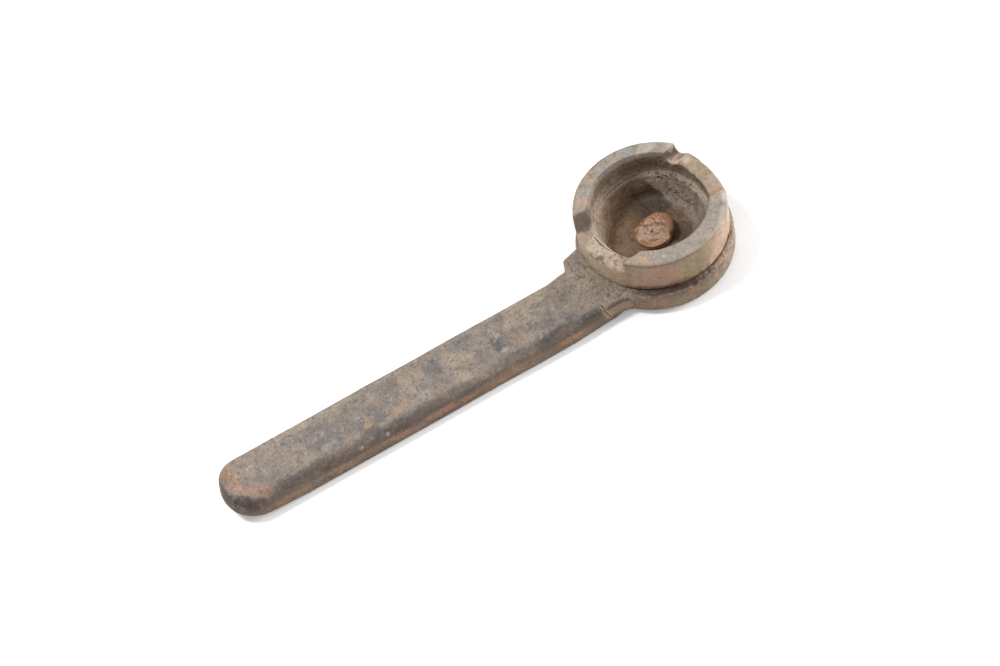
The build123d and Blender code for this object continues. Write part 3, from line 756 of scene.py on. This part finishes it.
def paint_cup(p, n):
    """Colour and shine over the cup."""
    x, y, z = p.T
    radius, angle = polar(x, y)
    wide, fine, grain = layered(p, 13, 141), layered(p, 3.5, 143), layered(p, 1.0, 147, 2)
    streak = layered(p * (1, 1, 0.25), 3.0, 149)
    worn = ramp(-62, -42, angle) * ramp(18, -5, angle)
    rim = ramp(31.9 - 3.0 * worn, 32.7, z + 0.6 * fine * worn)
    bevel = ramp(28.9, 28.5, radius) * ramp(42, 50, angle) * ramp(30.6, 31.6, z)
    inside = ramp(27.6, 26.8, radius) * ramp(32.0, 30.8, z)
    crisp = ramp(140, 112, np.abs(angle))
    # The edge between the painted light and the painted shadow inside the cup.
    edge = x + 0.5 * (z - 10.8) + 1.2 * fine
    # Where the inner wall and the floor are painted light.
    lit = ramp(-45, -10, angle) * ramp(12.2, 15.0, edge) * ramp(100, 80, angle)
    # Where the painted shadow falls on the far wall and the floor.
    shaded = ramp(15.0, 12.2, edge) * ramp(-7, 4, x - 1.6 * np.maximum(z - 9.1, 0) + 2 * fine)
    shaded = shaded * ramp(5, 10, y) * ramp(19, 16.5, z)
    ledge = ramp(84, 64, angle) * ramp(4, 26, angle) * ramp(18.5, 20, z) * ramp(26, 23, z)
    floor = ramp(11.0, 9.2, z) * inside
    stain_and_shadow = np.sqrt(((x - 9.4) / 6.9) ** 2 + ((y + 5.2) / 5.1) ** 2)
    inner = ramp(25.5, 26.4, radius)
    gaps = ramp(29.8, 29.0, z) * ramp(25.4, 26.0, z) * ramp(0.5, 0.8, n[:, 2]) * inner
    flank = ramp(32.8, 32.0, z) * ramp(27.0, 27.8, z) * inner
    crack = line_distance(x, y, z, RIM_CRACK)
    battered = ramp(-180, -172, angle) * ramp(-138, -144, angle) * ramp(24, 26, z) * ramp(30, 29, z)
    rough = layered(p, 1.5, 151, 2)
    burr_shadow_line = ramp(-142, -138, angle) * ramp(-70, -100, angle) * ramp(34.2, 34.6, radius)
    foot = ramp(33.4, 34.4, radius) * ramp(17.2, 15.0, z + 1.3 * fine)
    speck = layered(p, 1.3, 153, 2)
    shine = 0.2 + 0.35 * rim
    colour = coated(
        linear(150, 124, 102),
        ((126, 110, 84), 0.5 * ramp(0.05, 0.5, wide + 0.6 * streak)),
        ((176, 136, 110), 0.5 * ramp(-0.05, -0.5, wide + 0.6 * streak)),
        ((96, 84, 70), 0.35 * ramp(0.2, 0.6, streak)),
        # Rim: rubbed to a pale grey, with a darker bevel inside it.
        ((173, 163, 154), 0.9 * rim),
        ((152, 152, 156), 0.4 * rim * ramp(0.1, 0.5, wide + 0.3 * fine)),
        ((190, 160, 132), 0.4 * rim * ramp(-0.1, -0.5, wide + 0.4 * fine)),
        ((98, 91, 85), 0.85 * bevel * ramp(145, 110, angle)),
        # Inside: dark, dirty and pitted, with painted light and painted shadow.
        ((126, 108, 94), 0.85 * inside),
        ((146, 130, 118), 0.5 * inside * crisp * ramp(19, 21.2, z) * ramp(23.5, 24.6, radius)),
        # Painted light on the inner wall on the handle's side.
        ((182, 162, 145), 0.8 * inside * (1 - crisp)),
        ((150, 124, 104), 0.5 * inside * ramp(84, 108, angle) * ramp(155, 130, angle) * ramp(20, 17, z)),
        # Painted light on the inner wall on the right.
        ((188, 174, 161), 0.75 * inside * lit * ramp(25, 20, z)),
        ((88, 68, 52), 0.5 * inside * ramp(0.05, 0.5, fine + 0.3 * wide)),
        ((150, 116, 98), 0.35 * inside * ramp(-0.1, -0.5, fine)),
        ((84, 70, 58), 0.5 * inside * ramp(24, 26, z) * ramp(45, 60, angle) * ramp(150, 120, angle)),
        ((136, 120, 107), 0.72 * inside * ledge),
        ((116, 88, 56), 0.8 * floor),
        ((148, 120, 88), 0.4 * floor * ramp(0.0, 0.45, fine)),
        ((84, 62, 42), 0.5 * floor * ramp(-0.05, -0.5, fine)),
        # Painted light on the floor by the right wall.
        ((150, 136, 126), 0.8 * floor * lit * ramp(16.5, 18.5, radius + 0.8 * fine)),
        # Painted shadow on the far wall and the floor behind the rivet.
        ((64, 52, 43), 0.8 * inside * shaded),
        # A dark stain over the shallow hollow beside the rivet, partly a painted shadow of the rivet's end.
        ((86, 64, 47), 0.82 * floor * ramp(1.08, 0.98, stain_and_shadow)),
        # The side by the handle is a paler olive.
        ((190, 172, 148), 0.75 * ramp(33.4, 34.4, radius) * ramp(136, 160, np.abs(angle) + 8 * wide)),
        # Gap floors and flanks.
        ((164, 147, 130), 0.75 * gaps),
    )
    # Painted shade on the gaps' steep flanks, which face away from the light.
    for low, high in ((30, 50), (148, 176)):
        dark = flank * ramp(low, low + 4, angle) * ramp(high, high - 3, angle) * ramp(0.95, 0.85, n[:, 2])
        colour = coated(colour, ((94, 77, 65), 0.85 * dark * (radius > 27.2)))
    colour = blotted(colour, p, CUP_PATCHES, 161)
    colour = coated(
        colour,
        ((216, 202, 188), 0.5 * ramp(1.5, 0.8, crack) * (radius > 26)),
        ((84, 70, 60), 0.8 * ramp(0.75, 0.4, crack)),
        ((108, 88, 70), 0.7 * battered * ramp(0.1, 0.4, rough) * (radius > 26)),
        ((204, 188, 172), 0.35 * battered * ramp(-0.2, -0.5, rough) * (radius > 26)),
        ((84, 72, 62), 0.4 * ramp(0.28, 0.6, grain)),
        ((200, 190, 179), 0.3 * ramp(-0.3, -0.65, grain) * np.maximum(rim, 0.3)),
        ((66, 54, 45), 0.75 * pits_in_cup(p)),
        ((186, 172, 160), 0.4 * inside * ledge * ramp(-0.1, -0.4, layered(p, 1.0, 155, 2))),
        # Painted shadow under the burr that hangs over the front of the rim.
        ((88, 80, 70), 0.75 * burr_shadow_line * np.exp(-(((z - 31.1) / 0.7) ** 2))),
        # Dirt, scale and painted shade at the cup's foot: dark at the front; paler to the right, which is painted
        # light; speckled.
        ((74, 54, 40), 0.65 * foot * ramp(-146, -136, angle) * ramp(-84, -108, angle)),
        ((196, 172, 150), 0.75 * foot * ramp(-95, -65, angle) * ramp(20, -20, angle)),
        ((58, 46, 38), 0.6 * foot * ramp(0.1, 0.45, speck)),
        ((190, 172, 152), 0.5 * foot * ramp(-0.15, -0.45, speck) * ramp(-85, -60, angle)),
        # Painted light inside the joint under the cup, lifting the joint's shade.
        ((152, 110, 76), 0.85 * ramp(34.9, 34.3, radius) * ramp(14.6, 13.9, z) * (radius > 30)),
    )
    return np.column_stack([np.clip(colour * (1.0, 0.98, 0.93) * (1.13 - 0.13 * rim[:, None]), 0, 1), shine])


def paint_rivet(p):
    """Orange rust over the peened end, paler on its flattened face."""
    x, y, z = p.T
    fine, grain = layered(p, 2.6, 241), layered(p, 0.9, 243, 2)
    over = (p - FACE_AT) @ FACE_OUT
    from_ring = np.linalg.norm((p - RING_AT)[:, :2], axis=1)
    face = ramp(1.1, 0.4, np.abs(over)) * ramp(8.6, 6.6, from_ring)
    fold = line_distance(x, y, z, [(x, y, 14.3 + 0.08 * x) for x, y in FOLD[:6]])
    colour = coated(
        linear(168, 119, 86),
        ((206, 181, 158), 0.9 * face),
        ((206, 186, 156), 0.3 * face * np.exp(-(((from_ring - 3.0) / 0.7) ** 2))),
        ((168, 160, 148), 0.5 * ramp(2.4, 1.4, from_ring)),
        ((132, 92, 66), 0.55 * ramp(0.0, 0.45, fine)),
        ((204, 160, 128), 0.35 * ramp(-0.1, -0.5, fine)),
        ((112, 78, 58), 0.6 * ramp(0.12, 0.5, grain)),
        ((218, 192, 166), 0.5 * ramp(-0.25, -0.6, grain)),
        ((164, 118, 106), 0.5 * ramp(4.4, 6.6, x)),
        ((204, 166, 138), 0.5 * ramp(-3.5, -6.5, y) * ramp(13, 12, z)),
        # Painted shade along the fold between the flattened face and the lip.
        ((112, 78, 56), 0.6 * ramp(1.3, 0.3, fold) * ramp(-0.4, 0.1, fine + 0.4)),
        ((82, 70, 64), 0.8 * ramp(0.9, 0.5, np.linalg.norm(p - DOT_AT, axis=1))),
    )
    return np.column_stack([np.clip(colour * (1.08, 1.0, 0.97), 0, 1), np.full(len(p), 0.1)])


# ------------ materials
def old_iron(name, grain_mm, grain_share, bump_mm, rough):
    """Painted colours broken up by fine grain, with pits, specks and gloss from one roughness to another."""
    material = bpy.data.materials.new(name)
    material.use_nodes = True
    nodes, links = material.node_tree.nodes, material.node_tree.links
    shader = nodes["Principled BSDF"]
    place = nodes.new("ShaderNodeTexCoord").outputs["Object"]

    def made(kind, socket, source, **values):
        node = nodes.new("ShaderNode" + kind)
        for key, value in values.items():
            node.inputs[key.replace("_", " ")].default_value = value
        links.new(source, node.inputs[socket])
        return node.outputs[0]

    def grain(size_mm, detail, fading, distortion=0.0):
        scale = 1.0 / (size_mm * MM)
        looks = {"Detail": detail, "Roughness": fading, "Distortion": distortion}
        return made("TexNoise", "Vector", place, Scale=scale, **looks)

    def fitted(value, low, high, to_low, to_high):
        return made("MapRange", "Value", value, From_Min=low, From_Max=high, To_Min=to_low, To_Max=to_high)

    def maths(operation, a, b):
        node = nodes.new("ShaderNodeMath")
        node.operation = operation
        for value, socket in ((a, node.inputs[0]), (b, node.inputs[1])):
            if isinstance(value, (int, float)):
                socket.default_value = value
            else:
                links.new(value, socket)
        return node.outputs[0]

    def over(base, shade, share):
        node = nodes.new("ShaderNodeMix")
        node.data_type = "RGBA"
        factor, under, laid = (node.inputs[n] for n in (0, 6, 7))
        links.new(share, factor)
        links.new(base, under)
        laid.default_value = (*linear(*shade), 1)
        return node.outputs[2]

    paint = nodes.new("ShaderNodeAttribute")
    paint.attribute_name = "paint"
    colour = paint.outputs["Color"]
    fine = grain(grain_mm, 6.0, 0.7)
    coarse = grain(grain_mm * 4.5, 4.0, 0.6, 0.4)
    bright = fitted(fine, 0.34, 0.66, 1 - grain_share, 1 + grain_share)
    wave = fitted(coarse, 0.36, 0.64, 0.66, 0.82)
    scale = maths("MULTIPLY", bright, wave)
    lit = nodes.new("ShaderNodeVectorMath")
    lit.operation = "SCALE"
    links.new(colour, lit.inputs[0])
    links.new(scale, lit.inputs["Scale"])
    colour = lit.outputs[0]
    pale = fitted(grain(grain_mm * 1.5, 3.0, 0.6, 2.5), 0.6, 0.7, 0.0, 0.22)
    colour = over(colour, (206, 194, 180), pale)
    pits = fitted(grain(grain_mm * 1.5, 5.0, 0.65, 0.8), 0.38, 0.29, 0.0, 0.5)
    colour = over(colour, (62, 52, 46), pits)
    links.new(colour, shader.inputs["Base Color"])
    uneven = maths("ADD", maths("MULTIPLY", coarse, 0.6), maths("MULTIPLY", fine, 0.4))
    gloss = fitted(uneven, 0.35, 0.65, *rough)
    gloss = maths("SUBTRACT", gloss, maths("MULTIPLY", paint.outputs["Alpha"], 0.22))
    links.new(gloss, shader.inputs["Roughness"])
    height = maths("ADD", maths("MULTIPLY", fine, 0.6), maths("MULTIPLY", coarse, 0.9))
    height = maths("SUBTRACT", height, maths("MULTIPLY", pits, 0.7))
    bump = nodes.new("ShaderNodeBump")
    bump.inputs["Strength"].default_value = 1.0
    bump.inputs["Distance"].default_value = bump_mm * MM
    links.new(height, bump.inputs["Height"])
    links.new(bump.outputs["Normal"], shader.inputs["Normal"])
    shader.inputs["Specular IOR Level"].default_value = 0.45
    return material


handle_iron = old_iron("handle_iron", grain_mm=0.8, grain_share=0.3, bump_mm=0.2, rough=(0.55, 0.82))
cup_iron = old_iron("cup_iron", grain_mm=0.7, grain_share=0.2, bump_mm=0.14, rough=(0.5, 0.78))
rivet_rust = old_iron("rivet_rust", grain_mm=0.6, grain_share=0.3, bump_mm=0.3, rough=(0.75, 0.95))


# ------------ building the pieces
def forging():
    """The forging's points, quads and colours."""
    points, quads = surface_net(forging_distance, (-231.4, -40.2, -1.0), (37.0, 36.2, 14.8), FORGING_STEP)
    points = relaxed(points, quads)
    normal = normals_of(points, quads)
    hammered = 0.16 * layered(points * (0.55, 1, 1), 14, 11, 2) + 0.07 * layered(points, 4.0, 13, 2)
    x, y, z = points.T
    radius = np.hypot(x, y)
    rough = ramp(64, 40, radius) * ramp(11.5, 12.6, z)
    pitted = ramp(0.30, 0.62, layered(points, 1.9, 17, 2)) * (0.10 + 0.22 * rough)
    seated = ramp(33.5, 35.5, radius) + ramp(12.0, 11.0, z)
    ledge = ramp(32.5, 34.5, radius) * ramp(12.0, 12.6, z) * ramp(-32, -24, x)
    scale = ledge * (0.35 + 0.4 * layered(points, 1.8, 19, 2))
    move = (hammered - pitted + scale) * np.clip(seated, 0, 1) * ramp(-0.2, 0.6, z + 0.3)
    moved = points + normal * move[:, None]
    normal = normals_of(moved, quads)
    return moved, quads, paint_forging(points, normal), normal


def part_of(points, quads, colours, normals, keep):
    """The quads marked to keep, with their own points."""
    used = np.unique(quads[keep])
    index = np.full(len(points), -1)
    index[used] = np.arange(len(used))
    return points[used], index[quads[keep]], colours[used], normals[used]


points, quads, colours, normals = forging()
seam_far, seam_near, seam_foot = (
    np.array(c) for c in ((-51.0, BAR_FAR, STOCK), (-41.5, BAR_NEAR, STOCK), (-48.0, BAR_FAR, 0.0))
)
across_seam = np.cross(seam_near - seam_far, seam_foot - seam_far)
if across_seam[0] < 0:
    across_seam = -across_seam
beyond = (points[quads].mean(axis=1) - seam_far) @ across_seam > 0


def closed(name, points, quads, colours, normals):
    """A forging with its hidden open end filled and its outside shaded as one with the other's."""
    piece = to_object(name, points, quads, colours)
    mesh = bmesh.new()
    mesh.from_mesh(piece.data)
    made = bmesh.ops.holes_fill(mesh, edges=[e for e in mesh.edges if e.is_boundary], sides=0)
    bmesh.ops.triangulate(mesh, faces=made["faces"])
    mesh.to_mesh(piece.data)
    mesh.free()
    corners = np.zeros(len(piece.data.loops), np.int32)
    piece.data.loops.foreach_get("vertex_index", corners)
    facing = normals[corners]
    for face in piece.data.polygons[len(quads) :]:
        facing[list(face.loop_indices)] = face.normal
    piece.data.normals_split_custom_set(facing.astype(np.float32))
    return piece


head_plate = closed("head_plate_forged", *part_of(points, quads, colours, normals, beyond))
handle_bar = closed("handle_bar_forged", *part_of(points, quads, colours, normals, ~beyond))

points, quads = surface_net(cup_distance, (-36.5, -36.5, 2.6), (36.5, 36.5, 34.2), CUP_STEP)
points = relaxed(points, quads)
normal = normals_of(points, quads)
x, y, z = points.T
radius, angle = polar(x, y)
free = np.clip(ramp(13.9, 14.6, z) + ramp(8.3, 8.5, z) * (radius < 26), 0, 1)
battered = ramp(-180, -170, angle) * ramp(-138, -144, angle) * ramp(24, 26, z) * ramp(29.6, 28.6, z)
scale = ramp(34.2, 34.8, radius) * ramp(18.0, 15.5, z) * ramp(-150, -140, angle) * ramp(40, 0, angle)
dents = 0.12 * layered(points, 9, 111, 2) + 0.05 * layered(points, 3, 113, 2)
dents = dents + 0.3 * battered * (radius > 26) * layered(points, 2.2, 115, 2)
dents = dents + 0.35 * scale * layered(points, 1.8, 121, 2)
outside_pits = ramp(0.42, 0.7, layered(points, 1.8, 119, 2)) * 0.1
moved = points + normal * ((dents - 0.5 * pits_in_cup(points) - outside_pits) * free)[:, None]
socket_cup = to_object("socket_cup_worn", moved, quads, paint_cup(points, normals_of(moved, quads)))

points, quads = surface_net(rivet_distance, (-11, -11, -1), (11, 11, 17), LUMP_STEP)
normal = normals_of(points, quads)
battered = 0.28 * layered(points, 4.5, 211) + 0.1 * layered(points, 1.4, 213, 2)
battered = battered * ramp(10.6, 11.6, points[:, 2])
moved = points + normal * battered[:, None]
centre_rivet = to_object("centre_rivet_peened", moved, quads, paint_rivet(points))

points, quads = surface_net(burr_distance, (-10.5, -10.5, 7.6), (10.5, 10.5, 12), LUMP_STEP)
normal = normals_of(points, quads)
battered = 0.12 * layered(points, 2.5, 221) * ramp(6.6, 7.4, np.hypot(points[:, 0], points[:, 1]))
rivet_burr = to_object("rivet_burr_worn", points + normal * battered[:, None], quads, paint_rivet(points))

for piece, node, slot, material in (
    (head_plate, "head_plate", "forged_handle", handle_iron),
    (handle_bar, "handle_bar", "forged_handle", handle_iron),
    (socket_cup, "socket_cup", "worn_cup", cup_iron),
    (centre_rivet, "centre_rivet", "rusty_rivet", rivet_rust),
    (rivet_burr, "rivet_burr", "rusty_rivet", rivet_rust),
):
    piece.data.materials.clear()
    piece.data.materials.append(material)
    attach(piece, "root")
    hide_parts(node)

# The drive pins keep their solids and get worn steel.
pin_steel = old_iron("pin_steel", grain_mm=0.5, grain_share=0.15, bump_mm=0.1, rough=(0.45, 0.7))
flat_paint = [n for n in pin_steel.node_tree.nodes if n.type == "ATTRIBUTE"][0]
pin_colour = pin_steel.node_tree.nodes.new("ShaderNodeRGB")
pin_colour.outputs[0].default_value = (*linear(140, 130, 120), 1)
for link in list(flat_paint.outputs["Color"].links):
    pin_steel.node_tree.links.new(pin_colour.outputs[0], link.to_socket)
for node in ("drive_pin_1", "drive_pin_2"):
    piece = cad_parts[node]
    piece.data.materials.clear()
    piece.data.materials.append(pin_steel)

# ------------ floor, light and camera
FLOOR_HALF = 6.0
FLOOR_DROP = 0.0002  # keeps the floor's face and the flat underside apart
floor_mesh = bpy.data.meshes.new("floor")
square = ((-1, -1), (1, -1), (1, 1), (-1, 1))
floor_mesh.from_pydata([(a * FLOOR_HALF, b * FLOOR_HALF, 0) for a, b in square], [], [(0, 1, 2, 3)])
floor = added("floor", floor_mesh)
floor.location.z = -FLOOR_DROP
paper = bpy.data.materials.new("paper")
paper.use_nodes = True
for key, value in (
    ("Base Color", (0.92, 0.92, 0.92, 1)),
    ("Roughness", 0.9),
    ("Emission Color", (1, 1, 1, 1)),
    ("Emission Strength", 0.17),
    ("Specular IOR Level", 0.1),
):
    paper.node_tree.nodes["Principled BSDF"].inputs[key].default_value = value
floor_mesh.materials.append(paper)


LIT_PLACE = (-0.06, -0.01, 0)  # the place that the lights face, near the tool's middle


def stood(right, up, back, place):
    """Where a thing is and which way its own right, up and back point."""
    return Matrix([[right[i], up[i], back[i], place[i]] for i in range(3)] + [[0, 0, 0, 1]])


def soft_light(name, azimuth, elevation, distance, size, power):
    """A square light that faces the wrench from a direction, angles in degrees."""
    data = bpy.data.lights.new(name, "AREA")
    data.shape = "SQUARE"
    data.size = size
    data.energy = power
    a, e = math.radians(azimuth), math.radians(elevation)
    away = np.array((math.cos(e) * math.cos(a), math.cos(e) * math.sin(a), math.sin(e)))
    side = np.cross((0, 0, 1), away)
    side /= np.linalg.norm(side)
    up = np.cross(away, side)
    added(name, data).matrix_world = stood(side, up, away, away * distance + LIT_PLACE)


soft_light("key", azimuth=149, elevation=66, distance=1.6, size=0.28, power=14)
soft_light("side", azimuth=-14, elevation=21, distance=1.8, size=0.7, power=26)
world = bpy.data.worlds.new("studio")
world.use_nodes = True
background = world.node_tree.nodes["Background"].inputs
background["Color"].default_value = (1, 1, 1, 1)
background["Strength"].default_value = 0.58
bpy.context.scene.world = world

bpy.context.scene.view_settings.view_transform = "Standard"
camera_data = bpy.data.cameras.new("camera")
camera_data.lens = 70
camera_data.sensor_width = 36
camera_data.clip_end = 20
camera = added("camera", camera_data)
camera.matrix_world = stood(
    right=(0.8645925477547911, -0.47131818633990097, -0.17418063495160915),
    up=(0.4814570206905548, 0.677858122889512, 0.5556145268623579),
    back=(-0.14380147285286765, -0.5642406689152898, 0.8129905312778078),
    place=(-0.21246307665144903, -0.5029705454068977, 0.7240885721772594),
)
bpy.context.scene.camera = camera
